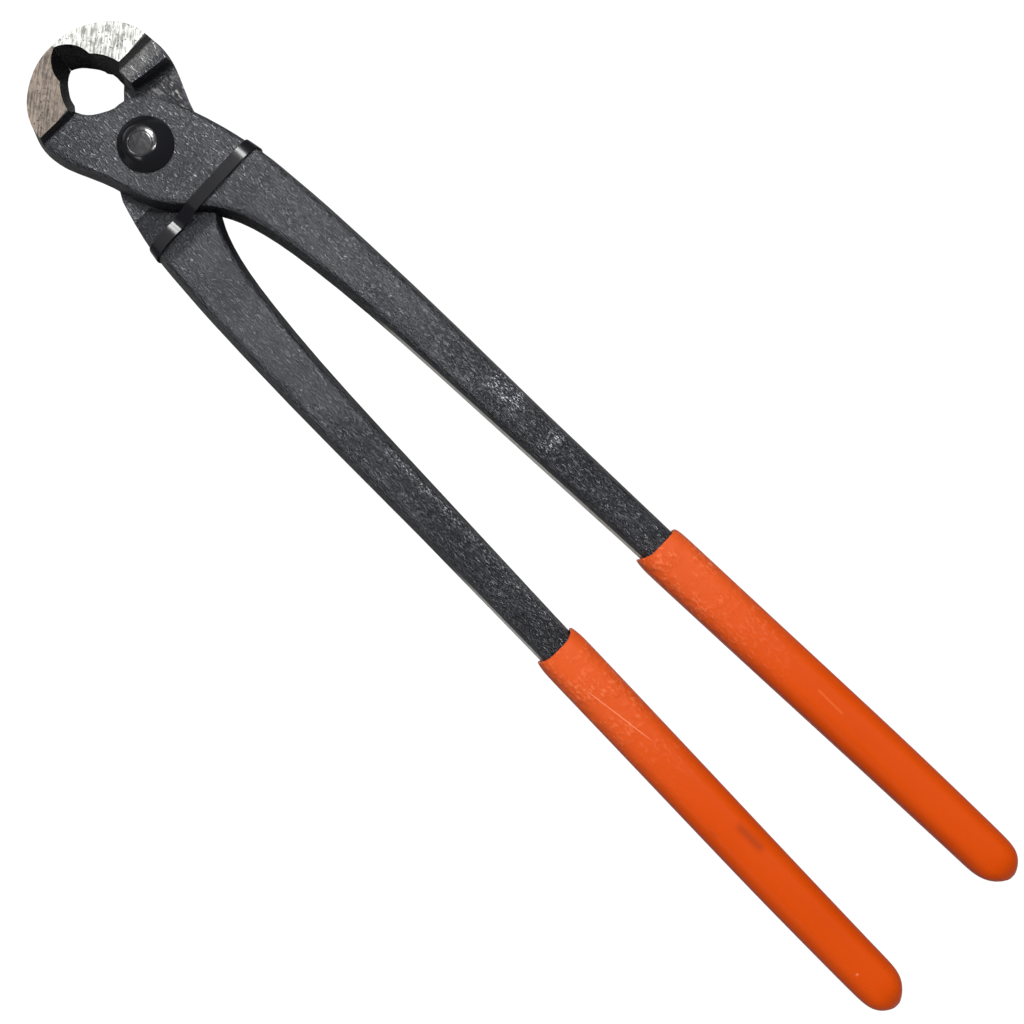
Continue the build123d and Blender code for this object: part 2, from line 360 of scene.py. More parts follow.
def worn_places_and_reflection(tree, grain, pale_ridge_band, chips, pad):
    """The bare line with its painted reflection, the chip zone, and all that is chipped or rubbed.
    """
    _, _, z = placed(tree)
    band = region(tree, *pale_ridge_band, band_soft)
    ridge_and_reflection = times(tree, band, between(tree, z, *ridge_span, ridge_soft))
    worn = ramp(tree, noise(tree, *wear_noise), *wear_rise)
    chip_zone = region(tree, *chips, chip_soft)
    chipped = times(tree, chip_zone, worn)
    pad_zone = region(tree, *pad, pad_soft)
    rubbed = times(tree, pad_zone, ramp(tree, grain, *rub_rise, *rub_weights))
    return ridge_and_reflection, chip_zone, math_node(tree, "MAXIMUM", chipped, rubbed)


def any_region(tree, zones, soft):
    """1 inside any of the zones."""
    result = region(tree, *zones[0], soft)
    for zone in zones[1:]:
        result = math_node(tree, "MAXIMUM", result, region(tree, *zone, soft))
    return result


# %% The enamel's colours, gloss and relief
# Darker where the ripples are low, lighter where they are high: painted shade in the hollows,
# painted light on the crests.
painted_hollow_shade = (0.001, 0.001, 0.002)
painted_crest_light = (0.009, 0.009, 0.012)
crest_shares = (0.85, 0.15)
# Specks, painted highlights, lie where the grain is high, and pits where it is low.
speck_highlight_rise = (0.55, 0.68)
pit_fall = (0.36, 0.46)
speck_highlight_strength = 0.6
painted_speck_highlight = (0.040, 0.042, 0.048)
glint_colour = (0.50, 0.51, 0.55)
scraped_colour = (0.34, 0.325, 0.30)
# The pale ridge is bare metal and a painted reflection of the room in the dark side.
ridge_metal_and_reflection = (0.80, 0.77, 0.72)
ridge_metal_and_reflection_strength = 0.9
enamel_tint = (0.93, 0.94, 1.0, 1)
enamel_shine = 0.59
gloss_rise = (0.1, 0.9)
gloss_roughness = (0.42, 0.26)
pit_dullness = 0.22
chip_dullness = 0.25
# Heights in millimetres.
wave_height = 0.10
ripple_height = 0.095
grain_height = 0.070
print("heights of waves, ripples and grains:", wave_height, ripple_height, grain_height, "mm")


# %% Forged enamel
def forged_enamel(name, pale_ridge_band, chips, pad, glints):
    """Black enamel with painted light and shade on its relief. Zones are x and y spans; glints is a
    list.
    """
    made, tree, shader = new_material(name)
    ripple, grain, patches, wave, depth = forged_skin(tree)
    ridge_and_reflection, chip_zone, rubbed = worn_places_and_reflection(tree, grain, pale_ridge_band, chips, pad)
    # Lighter specks on the grain's high points: painted highlights.
    speck_highlights = ramp(tree, grain, *speck_highlight_rise)
    shining = times(tree, speck_highlights, any_region(tree, glints, glint_soft))
    # Painted light on the ripples' crests and painted shade in their hollows.
    ripple_part = times(tree, ripple, crest_shares[0])
    crest_light = math_node(tree, "ADD", ripple_part, times(tree, patches, crest_shares[1]))

    colour = blend_colours(tree, crest_light, painted_hollow_shade, painted_crest_light)
    colour = blend_colours(tree, times(tree, speck_highlights, speck_highlight_strength), colour, painted_speck_highlight)
    colour = blend_colours(tree, shining, colour, glint_colour)
    colour = blend_colours(tree, rubbed, colour, scraped_colour)
    # The ridge: bare metal and a painted reflection.
    colour = blend_colours(tree, times(tree, ridge_and_reflection, ridge_metal_and_reflection_strength), colour, ridge_metal_and_reflection)
    tree.links.new(colour, shader.inputs["Base Color"])

    gloss = ramp(tree, ripple, *gloss_rise, *gloss_roughness)
    pits = ramp(tree, grain, *pit_fall, 1.0, 0.0)
    chip_part = times(tree, chip_zone, chip_dullness)
    dull = math_node(tree, "ADD", chip_part, times(tree, pits, pit_dullness))
    tree.links.new(math_node(tree, "ADD", gloss, dull), shader.inputs["Roughness"])
    shader.inputs["Specular Tint"].default_value = enamel_tint
    shader.inputs["Specular IOR Level"].default_value = enamel_shine
    relief(tree, shader, [
        (wave, wave_height),
        (times(tree, ripple, depth), ripple_height),
        (grain, grain_height),
    ])
    print("finish:", name, "with", len(tree.nodes), "nodes")
    return made


# %% Enamel for each arm
# Each zone is an x span and a y span in millimetres from the pivot.
nowhere = ((-300, -299), (0, 1))
front_band = ((70, 152), (5, 17))
rear_band = ((125, 152), (-30, -17))
rear_chips = ((-9.5, 0), (10.5, 16))
rear_pad = ((-17.2, -13.5), (6.5, 18))
front_glints = (((95, 105), (15, 20.5)), ((115, 118), (13, 20)))
rear_glints = (((90, 150), (-12.7, -11.3)),)

enamel_front = forged_enamel("forged_enamel", front_band, nowhere, nowhere, front_glints)
enamel_rear = forged_enamel("forged_enamel_rear", rear_band, rear_chips, rear_pad, rear_glints)

# %% [markdown]
# The faces of the jaws are ground bare after the enamel. The rear jaw is bright. The front one is
# a little rougher, and its darker, warmer colour is a painted reflection of a dimmer part of the
# room. Both show the fine slanted lines of the wheel and small dark pits. Anisotropic gloss
# would give such lines too, but only in the reflections, so here they are a stretched noise that
# colours and bumps the metal.

# %% Ground steel
wheel_noise = (0.42, (0.10, 1, 1), 2.0, 0.6, 52)
cloud_noise = (2.2, (1, 1, 1), 3.0, 0.6)
pit_noise = (0.6, (1, 1, 1), 1.0)
pit_rise = (0.64, 0.72)
pit_share = 0.45
shade_rise = (0.36, 0.62)
shade_share = 0.5
# Beyond a slanted line near the step, the steel is painted near-black.
border_slant = 0.1
border_soft = 0.12
border_dark = (0.003, 0.003, 0.004)
wheel_height = 0.03
cloud_height = 0.06


def ground_steel(name, light, dark, roughness, metal, dark_from):
    """Bare steel, painted near-black beyond a given x, slanted by a tenth of y."""
    made, tree, shader = new_material(name)
    lines = noise(tree, *wheel_noise)
    clouds = noise(tree, *cloud_noise)
    pits = ramp(tree, noise(tree, *pit_noise), *pit_rise)
    line_part = times(tree, lines, shade_share)
    mixed = math_node(tree, "ADD", line_part, times(tree, clouds, shade_share))
    colour = blend_colours(tree, ramp(tree, mixed, *shade_rise), dark, light)
    colour = blend_colours(tree, pits, colour, tuple(pit_share * c for c in dark))
    x, y, _ = placed(tree)
    slanted = math_node(tree, "ADD", x, times(tree, y, border_slant))
    darkened_border = ramp(tree, slanted, dark_from - border_soft, dark_from + border_soft)
    colour = blend_colours(tree, darkened_border, colour, border_dark)
    tree.links.new(colour, shader.inputs["Base Color"])
    shader.inputs["Metallic"].default_value = metal
    shader.inputs["Roughness"].default_value = roughness
    relief(tree, shader, [(lines, wheel_height), (clouds, cloud_height)])
    print("finish:", name, "with", len(tree.nodes), "nodes")
    return made


# %% Steel for each jaw
bright_steel = ground_steel("bright_steel", light=(0.43, 0.43, 0.41), dark=(0.12, 0.12, 0.11),
                            roughness=0.42, metal=0.6, dark_from=-16.2)
# The front jaw is a little rougher, and its darker, warmer colours are a painted reflection of a
# dimmer part of the room.
rougher_shaded_steel = ground_steel("rougher_shaded_steel", light=(0.195, 0.155, 0.125), dark=(0.055, 0.045, 0.036),
                          roughness=0.5, metal=0.5, dark_from=-18.5)

# %% [markdown]
# The grips are dipped vinyl: one strong orange, half matt, with a soft bloom at grazing angles.
# Near the mouth the skin has wrinkled where it was pulled over the bar. There it is painted
# lighter, as painted highlights on the wrinkles' crests and a painted sheen. Cloth simulation
# could make folds, but these are less than half a millimetre deep, so they are a bump as well.

# %% What the shop left on the grips
# Each mark is its x span, y span, softness, colour and strength.
grip_marks = (
    ((210.5, 218.5), (-17.4, -16.4), 2.6, (0.22, 0.026, 0.004), 0.8),
    ((254.5, 255), (-22.3, -21.9), 0.6, (0.85, 0.35, 0.22), 0.55),
    ((206.6, 209.2), (-22.5, -22.3), 0.5, (0.28, 0.032, 0.004), 0.55),
    ((202, 210), (18.9, 19.2), 0.6, (0.90, 0.24, 0.07), 0.3),
)
scratch_start = (163.8, -19.25)
scratch_end = (181.3, -17.03)
scratch_half_width = 0.10
scratch_side_soft = 0.15
scratch_end_soft = 4.0
scratch_strength = 0.5
scratch_colour = (0.88, 0.34, 0.20)
# The marks are on the upper side only: they fade in over these heights above the pivot's middle.
mark_heights = (1, 2)
print("marks on the grips:", len(grip_marks), "and a scratch")


def scratched(tree, x, y):
    """1 along a thin straight line between the scratch's two ends."""
    climb = (scratch_end[1] - scratch_start[1]) / (scratch_end[0] - scratch_start[0])
    level = scratch_start[1] - climb * scratch_start[0]
    straight = math_node(tree, "SUBTRACT", y, times(tree, x, climb))
    sides = (level - scratch_half_width, level + scratch_half_width)
    across_line = between(tree, straight, *sides, scratch_side_soft)
    along_line = between(tree, x, scratch_start[0], scratch_end[0], scratch_end_soft)
    return times(tree, across_line, along_line)


def marked(tree, x, y, z, colour):
    """The colour with the marks and the scratch on it."""
    above = ramp(tree, z, *mark_heights)
    for x_span, y_span, softness, mark_colour, strength in grip_marks:
        mark = times(tree, region(tree, x_span, y_span, softness), above, strength)
        colour = blend_colours(tree, mark, colour, mark_colour)
    scratch = times(tree, scratched(tree, x, y), above, scratch_strength)
    return blend_colours(tree, scratch, colour, scratch_colour)


# %% The vinyl's colours, gloss and relief
mouth_span = (158, 205)
wrinkle_noise = (0.9, (0.7, 1.1, 1), 2.0, 0.55)
soft_noise = (9.0, (0.4, 1, 1), 2.0)
rough_size = 6.0
dust_size = 0.5
# The wrinkles' crests and the skin by the mouth are painted lighter: painted highlights on the
# crests, a painted sheen by the mouth.
rough_rise = (0.36, 0.56)
wrinkle_highlight_rise = (0.50, 0.66)
wrinkle_highlight_share = 0.5
mouth_sheen_share = 0.14
deep_orange = (0.51, 0.050, 0.001)
light_orange = (0.57, 0.061, 0.001)
painted_sheen_orange = (0.84, 0.22, 0.09)
vinyl_rise = (0.3, 0.7)
vinyl_roughness = (0.42, 0.52)
vinyl_shine = 0.07
bloom_weight = 0.35
bloom_roughness = 0.30
bloom_tint = (1.0, 0.80, 0.76, 1)
# Heights in millimetres.
soft_height = 0.15
wrinkle_height = 0.40
dust_height = 0.010
print("wrinkles:", wrinkle_height, "mm high between x", mouth_span[0], "and", mouth_span[1])


# %% Dipped vinyl
def dipped_vinyl(name):
    """Soft orange vinyl, wrinkled near the mouth and painted lighter there: painted highlights on
    the wrinkles' crests and a painted sheen.
    """
    made, tree, shader = new_material(name)
    x, y, z = placed(tree)
    mouth = ramp(tree, x, *mouth_span, 1.0, 0.0)
    wrinkles = noise(tree, *wrinkle_noise)
    soft = noise(tree, *soft_noise)
    rough_part = ramp(tree, noise(tree, rough_size), *rough_rise)
    rough_patch = times(tree, wrinkles, mouth, rough_part)
    # Painted highlights on the wrinkles' crests, and a painted sheen by the mouth.
    wrinkle_highlights = times(tree, ramp(tree, wrinkles, *wrinkle_highlight_rise), rough_patch)
    wrinkle_highlight_part = times(tree, wrinkle_highlights, wrinkle_highlight_share)
    painted_light_share = math_node(tree, "ADD", wrinkle_highlight_part, times(tree, mouth, mouth_sheen_share))

    colour = blend_colours(tree, soft, deep_orange, light_orange)
    colour = blend_colours(tree, painted_light_share, colour, painted_sheen_orange)
    tree.links.new(marked(tree, x, y, z, colour), shader.inputs["Base Color"])
    gloss = ramp(tree, soft, *vinyl_rise, *vinyl_roughness)
    tree.links.new(gloss, shader.inputs["Roughness"])
    shader.inputs["Specular IOR Level"].default_value = vinyl_shine
    shader.inputs["Sheen Weight"].default_value = bloom_weight
    shader.inputs["Sheen Roughness"].default_value = bloom_roughness
    shader.inputs["Sheen Tint"].default_value = bloom_tint
    relief(tree, shader, [
        (soft, soft_height),
        (rough_patch, wrinkle_height),
        (noise(tree, dust_size), dust_height),
    ])
    print("finish:", name, "with", len(tree.nodes), "nodes")
    return made


vinyl = dipped_vinyl("grip_vinyl")

# %% [markdown]
# The rivet's enamel and the tie's nylon are both smooth glossy black. They differ in how strongly
# they shine and in how uneven they are: the rivet was hammered, the strap came out of a mould.
# One helper makes both, so that only these differences need values.

# %% Gloss blacks
black = (0.008, 0.008, 0.010, 1)
black_roughness = 0.18
# Each bump is the size of its dents and its height, in millimetres.
rivet_shine = 0.38
rivet_bumps = ((3.0, 0.08), (0.9, 0.025))
nylon_shine = 0.13
nylon_bumps = ((4.0, 0.02),)


def gloss_black(name, shine, bumps):
    """Smooth black with a light unevenness."""
    made, tree, shader = new_material(name)
    shader.inputs["Base Color"].default_value = black
    shader.inputs["Roughness"].default_value = black_roughness
    shader.inputs["Specular IOR Level"].default_value = shine
    relief(tree, shader, [(noise(tree, size, detail=1.0), height) for size, height in bumps])
    print("finish:", name, "with", len(tree.nodes), "nodes")
    return made


rivet_enamel = gloss_black("rivet_enamel", rivet_shine, rivet_bumps)
nylon = gloss_black("tie_nylon", nylon_shine, nylon_bumps)

# %% [markdown]
# A forging's finished mesh starts from a copy of the node, because that has the exact shape, and
# modelling the lap joint a second time would only bring in errors. Its loose triangles are
# merged first. A small bevel later takes the sharpness off the edges, because no forged edge is
# sharp.

# %% Copy a node
merge_distance = 0.001
dissolve_angle = 0.5
bevel_segments = 2


def copy_of(node, name):
    """A separate, merged copy of a CAD node's mesh, alone and active."""
    bpy.ops.object.select_all(action="DESELECT")
    made = bpy.data.objects.new(name, frame["nodes"][node].data.copy())
    bpy.context.collection.objects.link(made)
    bpy.context.view_layer.objects.active = made
    made.select_set(True)
    bpy.ops.object.mode_set(mode="EDIT")
    bpy.ops.mesh.select_all(action="SELECT")
    bpy.ops.mesh.remove_doubles(threshold=merge_distance * MM)
    bpy.ops.mesh.dissolve_limited(angle_limit=math.radians(dissolve_angle))
    bpy.ops.object.mode_set(mode="OBJECT")
    print("copied:", node, len(made.data.polygons), "faces")
    return made


def round_edges(piece, width, angle):
    """Bevels the edges sharper than angle by a width in millimetres, for good."""
    bevel = piece.modifiers.new("round", "BEVEL")
    bevel.width = width * MM
    bevel.segments = bevel_segments
    bevel.limit_method = "ANGLE"
    bevel.angle_limit = math.radians(angle)
    bpy.ops.object.modifier_apply(modifier=bevel.name)


# %% [markdown]
# The hammer did not leave the throat behind the jaws quite as the drawing has it. Three lengths
# of its edge on each arm are pulled a little, with proportional editing, as a sculptor would.

# %% Pull the throat's edge
# Each pull is a place from the pivot, a shift and how far around the place the pull reaches.
front_pulls = (
    ((-23.5, -4.75, -9.25), (0, -0.7, 0), 4.5),
    ((-11.8, -2.5, 6.25), (-0.6, 0, 0), 6.0),
    ((-10.5, 2.8, 6.25), (-0.4, 0, 0), 4.0),
)
rear_pulls = (
    ((-23.5, 4.75, -9.25), (0, 1.0, 0), 4.5),
    ((-17.3, 8.2, -9.25), (0, -1.5, 0), 5.5),
    ((-13.4, 4.75, -0.05), (-1.2, 0, 0), 5.5),
)
pick_reach = 0.7


def pull(place, shift, reach):
    """Moves what lies at a place from the pivot, and all within reach of it ever less."""
    spot = pivot + Vector(place) * MM
    bpy.ops.object.mode_set(mode="EDIT")
    mesh = bmesh.from_edit_mesh(bpy.context.object.data)
    for vertex in mesh.verts:
        vertex.select_set((vertex.co - spot).length < pick_reach * MM)
    mesh.select_flush_mode()
    print("pulled:", sum(vertex.select for vertex in mesh.verts), "vertices at", place)
    bmesh.update_edit_mesh(bpy.context.object.data)
    bpy.ops.transform.translate(value=Vector(shift) * MM, use_proportional_edit=True,
                                proportional_edit_falloff="SMOOTH", proportional_size=reach * MM)
    bpy.ops.object.mode_set(mode="OBJECT")


# %% [markdown]
# The wide flats of a hammered forging bulge a little, so their long edges catch the light as a
# soft line. An inset with some depth does the same: it lifts the flat and leaves a narrow
# sloping rim. Subdivision would round the whole arm, the jaws too, so it isn't used.

# %% Crown the flats
# The least area of a flat in square millimetres, and its least height off the pivot's middle.
smallest_flat = 150
lowest_flat = 2
level_normal = 0.9
rim_width = 0.8
crown_height = 0.2


def crown_flats():
    """Lifts the wide flats inside a narrow rim."""
    bpy.ops.object.mode_set(mode="EDIT")
    mesh = bmesh.from_edit_mesh(bpy.context.object.data)
    bpy.ops.mesh.select_all(action="DESELECT")
    bpy.ops.mesh.select_mode(type="FACE")
    for face in mesh.faces:
        height = abs(face.calc_center_median().z - pivot.z)
        wide = face.calc_area() > smallest_flat * MM * MM
        level = abs(face.normal.z) > level_normal
        face.select_set(wide and level and height > lowest_flat * MM)
    print("flats crowned:", sum(face.select for face in mesh.faces))
    bmesh.update_edit_mesh(bpy.context.object.data)
    bpy.ops.mesh.inset(thickness=rim_width * MM, depth=crown_height * MM)
    bpy.ops.mesh.select_mode(type="VERT")
    bpy.ops.object.mode_set(mode="OBJECT")


# %% Dress the arms
edge_round = 0.25
edge_angle = 28
arm_shade_angle = 32
# The ground face of a jaw begins at the step, this far from the pivot, and lies at full height.
step_from_pivot = 17.3
height_slack = 0.02


def dress_arm(node, body, enamel, steel, pulls):
    """Finishes one arm: enamel all over, and steel on the ground face of its jaw."""
    low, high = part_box(node)
    arm = copy_of(node, node + "_forging")
    for place, shift, reach in pulls:
        pull(place, shift, reach)
    crown_flats()
    arm.data.materials.clear()
    arm.data.materials.append(enamel)
    arm.data.materials.append(steel)
    step_x = pivot.x - step_from_pivot * MM
    face_height = (high.z - low.z) / 2 - height_slack * MM
    for face in arm.data.polygons:
        on_face = abs(face.center.z - pivot.z) > face_height
        face.material_index = int(on_face and face.center.x < step_x)
    round_edges(arm, edge_round, edge_angle)
    bpy.ops.object.shade_smooth_by_angle(angle=math.radians(arm_shade_angle))
    weighted = arm.modifiers.new("flat_faces", "WEIGHTED_NORMAL")
    weighted.keep_sharp = True
    bpy.ops.object.modifier_apply(modifier=weighted.name)
    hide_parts(node)
    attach(arm, body)
    print(arm.name, len(arm.data.polygons), "faces")


dress_arm("front_arm", "front_half", enamel_front, rougher_shaded_steel, front_pulls)
dress_arm("rear_arm", "rear_half", enamel_rear, bright_steel, rear_pulls)

# %% [markdown]
# A grip starts as one flat face at its mouth. The corners are rounded, and the face is then drawn
# along the bar, station by station, to the blind end. A copy of the node would be quicker, but
# its ends are plain, and dipped vinyl has soft ones. The first table holds the sleeve's middle
# line, width and thickness in millimetres, and follows the node.

# %% The sleeve's stations
sleeve_stations = (
    # x, middle line, width, thickness
    (150.4, 16.91, 11.45, 10.55), (151.4, 16.94, 11.9, 11.0), (153.2, 17.0, 12.45, 11.6),
    (155.5, 17.07, 12.6, 11.8), (165.0, 17.37, 12.56, 11.77), (185.0, 18.03, 12.47, 11.70),
    (205.0, 18.73, 12.36, 11.62), (225.0, 19.43, 12.20, 11.52), (243.0, 19.86, 11.92, 11.44),
)
# Distance from the tip, shift away from the other handle and share of the full width.
cap_stations = (
    (14.0, 0.0, 1.0), (8.5, 0.05, 0.995), (5.8, 0.16, 0.955), (3.8, 0.32, 0.83),
    (2.2, 0.42, 0.63), (1.0, 0.42, 0.40), (0.2, 0.38, 0.18),
)
cap_width = 11.62
cap_thickness = 11.40
cap_middle = 20.13


def stations_to(tip):
    """All stations of a sleeve whose blind end is at a tip's x."""
    stations = list(sleeve_stations)
    for before, shift, share in cap_stations:
        size = (cap_width * share, cap_thickness * share)
        stations.append((tip - before, cap_middle + shift, *size))
    return stations


print("stations:", len(stations_to(0)))


# %% Edit helpers
# Vertices this near to a plane lie in it, and this near to each other are one.
touching = 0.01 * MM


def pick(test):
    """In edit mode, selects the vertices whose place passes the test and nothing else."""
    mesh = bmesh.from_edit_mesh(bpy.context.object.data)
    mesh.select_mode = {"VERT"}
    for vertex in mesh.verts:
        vertex.select_set(bool(test(vertex.co)))
    mesh.select_flush_mode()
    bmesh.update_edit_mesh(bpy.context.object.data)


def grow_to(place, old_place, size_ratio):
    """Extrudes the selected face, moves it from one place to the next and resizes it about that."""
    bpy.ops.mesh.extrude_region_move()
    bpy.ops.transform.translate(value=place - old_place)
    bpy.ops.transform.resize(value=size_ratio, center_override=place)


def close_shape():
    """Turns all faces outwards and leaves edit mode."""
    bpy.ops.mesh.select_all(action="SELECT")
    bpy.ops.mesh.normals_make_consistent(inside=False)
    bpy.ops.object.mode_set(mode="OBJECT")


# %% Draw the sleeve
corner_share = 0.37
corner_segments = 5
end_inset = 0.6


def draw_sleeve(name, stations, places):
    """A tube through all stations, closed at the blind end only and left in edit mode."""
    first = stations[0]
    bpy.ops.mesh.primitive_plane_add(size=1, location=(0, 0, 0))
    grip = bpy.context.object
    grip.name = name
    bpy.ops.object.mode_set(mode="EDIT")
    bpy.ops.mesh.select_all(action="SELECT")
    bpy.ops.transform.rotate(value=math.radians(90), orient_axis="Y", center_override=(0, 0, 0))
    bpy.ops.transform.resize(value=(1, first[2] * MM, first[3] * MM), center_override=(0, 0, 0))
    bpy.ops.transform.translate(value=places[0])
    bpy.ops.mesh.bevel(offset=corner_share * first[3] * MM, segments=corner_segments,
                       affect="VERTICES", profile=0.5)
    for i, (old, new) in enumerate(zip(stations, stations[1:])):
        grow_to(places[i + 1], places[i], (1, new[2] / old[2], new[3] / old[3]))
    bpy.ops.mesh.inset(thickness=end_inset * MM)
    bpy.ops.mesh.select_all(action="DESELECT")
    return grip


# %% [markdown]
# The vinyl's cut edge is soft and its inner wall is seen only near the mouth. So the open rim is
# folded inwards and runs back along the bar for a few millimetres. A solidify modifier would
# give the whole sleeve an inner wall that nobody sees. The mouth isn't cut square either: it is
# drawn back over the two flats and stands forward at its sides.

# %% Shape the mouth
# How many millimetres each fold goes in, and the share of its size that it leaves the rim.
rim_folds = ((0.0, 0.90), (0.3, 0.96), (5.5, 0.985))
# Shares of the half width inside which the mouth is drawn back, and by how many millimetres.
mouth_draws = ((0.95, 0.45), (0.80, 0.55), (0.62, 0.45), (0.40, 0.25))
# Shares of the half width beyond which the outer side goes further back, in equal steps.
lip_shares = (0.25, 0.55, 0.85)
# What lies nearer to the first station than this, in millimetres, is the mouth.
mouth_depth = 1.3
print("the rim runs", sum(fold[0] for fold in rim_folds), "mm back inside the sleeve")


def fold_rim(middle):
    """Folds the sleeve's open rim inwards."""
    pick(lambda co: abs(co.x - middle.x) < touching)
    for inwards, narrowing in rim_folds:
        bpy.ops.mesh.extrude_region_move()
        bpy.ops.transform.translate(value=(inwards * MM, 0, 0))
        bpy.ops.transform.resize(value=(1, narrowing, narrowing), center_override=middle)


def draw_mouth(middle, half, side, lip_back):
    """Curves the mouth. half is half its width, and side and lip_back are as in make_grip."""
    near = middle.x + mouth_depth * MM
    for share, reach in mouth_draws:
        limit = share * half * MM
        pick(lambda co: co.x < near and abs(co.y - middle.y) < limit)
        bpy.ops.transform.translate(value=(reach * MM, 0, 0))
    for share in lip_shares:
        pick(lambda co: co.x < near and side * (co.y - middle.y) > share * half * MM)
        bpy.ops.transform.translate(value=(lip_back * MM / len(lip_shares), 0, 0))


# %% The grips
smooth_levels = 2
grip_shade_angle = 40


def smooth_up(piece):
    """Subdivides the piece for good and shades it smooth."""
    finer = piece.modifiers.new("finer", "SUBSURF")
    finer.levels = smooth_levels
    finer.render_levels = smooth_levels
    bpy.ops.object.modifier_apply(modifier=finer.name)
    bpy.ops.object.shade_smooth_by_angle(angle=math.radians(grip_shade_angle))


def make_grip(name, node, body, side, tip, lip_back):
    """A dipped sleeve. side is 1 for the handle at plus Y and -1 for the other one, tip its far x.
    lip_back is how much further back the mouth's outer side lies."""
    stations = stations_to(tip)
    places = [pivot + Vector((x, side * y, 0)) * MM for x, y, _, _ in stations]
    grip = draw_sleeve(name, stations, places)
    fold_rim(places[0])
    draw_mouth(places[0], stations[0][2] / 2, side, lip_back)
    close_shape()
    smooth_up(grip)
    grip.data.materials.append(vinyl)
    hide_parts(node)
    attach(grip, body)
    print(grip.name, len(grip.data.polygons), "faces")


make_grip("front_sleeve", "front_grip", "front_half", side=1, tip=267.4, lip_back=1.3)
make_grip("rear_sleeve", "rear_grip", "rear_half", side=-1, tip=268.5, lip_back=0.2)

# %% [markdown]
# The rivet is a plain pin whose two ends were hammered over. Spinning a profile would give
# perfectly round heads, but the blows did not land square. So a disc is drawn up ring by ring
# for one head and the same for the other, each ring slides a little off the axis, and the last
# blow left a shallow groove round the flat.

# %% The rivet's rings
# Height above the lap plane of the tool, radius, slide towards minus Y and slide towards minus X.
head_rings = (
    (6.25, 6.55, 0.83, 0.0), (6.75, 6.75, 0.88, 0.0), (7.05, 6.65, 0.90, 0.0),
    (7.45, 6.25, 0.92, 0.05), (8.30, 5.45, 1.10, 0.25), (9.00, 4.75, 1.35, 0.50),
    (9.52, 4.00, 1.55, 0.65), (9.78, 2.95, 1.78, 0.28), (9.70, 2.82, 1.78, 0.28),
    (9.75, 2.60, 1.78, 0.28),
)
head_start = head_rings[0][0]
shank_radius = 4.0
rivet_sides = 72
rivet_round = 0.16
rivet_round_angle = 8
rivet_shade_angle = 25
print("rings in a head:", len(head_rings))


def ring_place(ring, up):
    """A ring's middle. up is 1 for the head at the top and -1 for the one below."""
    return pivot + Vector((-ring[3], -ring[2], up * ring[0])) * MM


def draw_head(up):
    """Draws one head out of the shank's end."""
    end_z = pivot.z + up * head_start * MM
    pick(lambda co: abs(co.z - end_z) < touching)
    old_place = pivot + Vector((0, 0, up * head_start)) * MM
    old_radius = shank_radius
    for ring in head_rings:
        ratio = ring[1] / old_radius
        grow_to(ring_place(ring, up), old_place, (ratio, ratio, 1))
        old_place = ring_place(ring, up)
        old_radius = ring[1]


# %% The rivet
bpy.ops.mesh.primitive_cylinder_add(vertices=rivet_sides, radius=shank_radius * MM,
                                    depth=2 * head_start * MM, end_fill_type="NGON")
rivet = bpy.context.object
rivet.name = "hammered_rivet"
bpy.ops.object.mode_set(mode="EDIT")
bpy.ops.mesh.select_all(action="SELECT")
bpy.ops.transform.translate(value=pivot)
draw_head(1)
draw_head(-1)
close_shape()
round_edges(rivet, rivet_round, rivet_round_angle)
bpy.ops.object.shade_smooth_by_angle(angle=math.radians(rivet_shade_angle))
rivet.data.materials.append(rivet_enamel)
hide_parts("pivot_rivet")
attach(rivet, "rear_half")
print(rivet.name, len(rivet.data.polygons), "faces")

# %% [markdown]
# The cable tie goes once round both arms. A curve with a flat bevel would make the strap too, but
# a mesh is easier to twist at the sides and to join to the head. So one edge is drawn along a
# path, which leaves a ribbon behind it. The table gives the inside of one half of the path in
# millimetres across and up from the pivot; the other half is the same, turned over. A nylon
# strap does not fold sharply, so the path is cut into short steps and smoothed first.

# %% The tie's path
tie_x = 17.8
tie_half = (
    (17.80, 0.0), (17.34, 2.5), (16.97, 5.0), (16.70, 6.4), (13.7, 7.15), (5.0, 7.2), (-3.2, 7.1),
    (-7.3, 5.05), (-8.5, 4.55), (-10.5, 5.05), (-16.0, 5.15), (-17.2, 4.5), (-17.52, 2.8),
)
path_step = 1.0
smoothings = 2


def even_steps(points, spacing):
    """The closed path cut into equal steps no longer than spacing on every straight piece."""
    result = []
    for (y0, z0), (y1, z1) in zip(points, points[1:] + points[:1]):
        count = math.ceil(math.hypot(y1 - y0, z1 - z0) / spacing)
        for i in range(count):
            part = i / count
            result.append((y0 + part * (y1 - y0), z0 + part * (z1 - z0)))
    return result


def smoothed(points):
    """Each point moved half way to the middle of its two neighbours."""
    before, after = points[-1:] + points[:-1], points[1:] + points[:1]
    return [((a[0] + 2 * b[0] + c[0]) / 4, (a[1] + 2 * b[1] + c[1]) / 4)
            for a, b, c in zip(before, points, after)]


path = even_steps(list(tie_half) + [(-y, -z) for y, z in tie_half], path_step)
for _ in range(smoothings):
    path = smoothed(path)
tie_middle = pivot + Vector((tie_x, 0, 0)) * MM
places = [tie_middle + Vector((0, y, z)) * MM for y, z in path]
print("tie path:", len(places), "points")

# %% Draw the ribbon
tie_width = 3.1

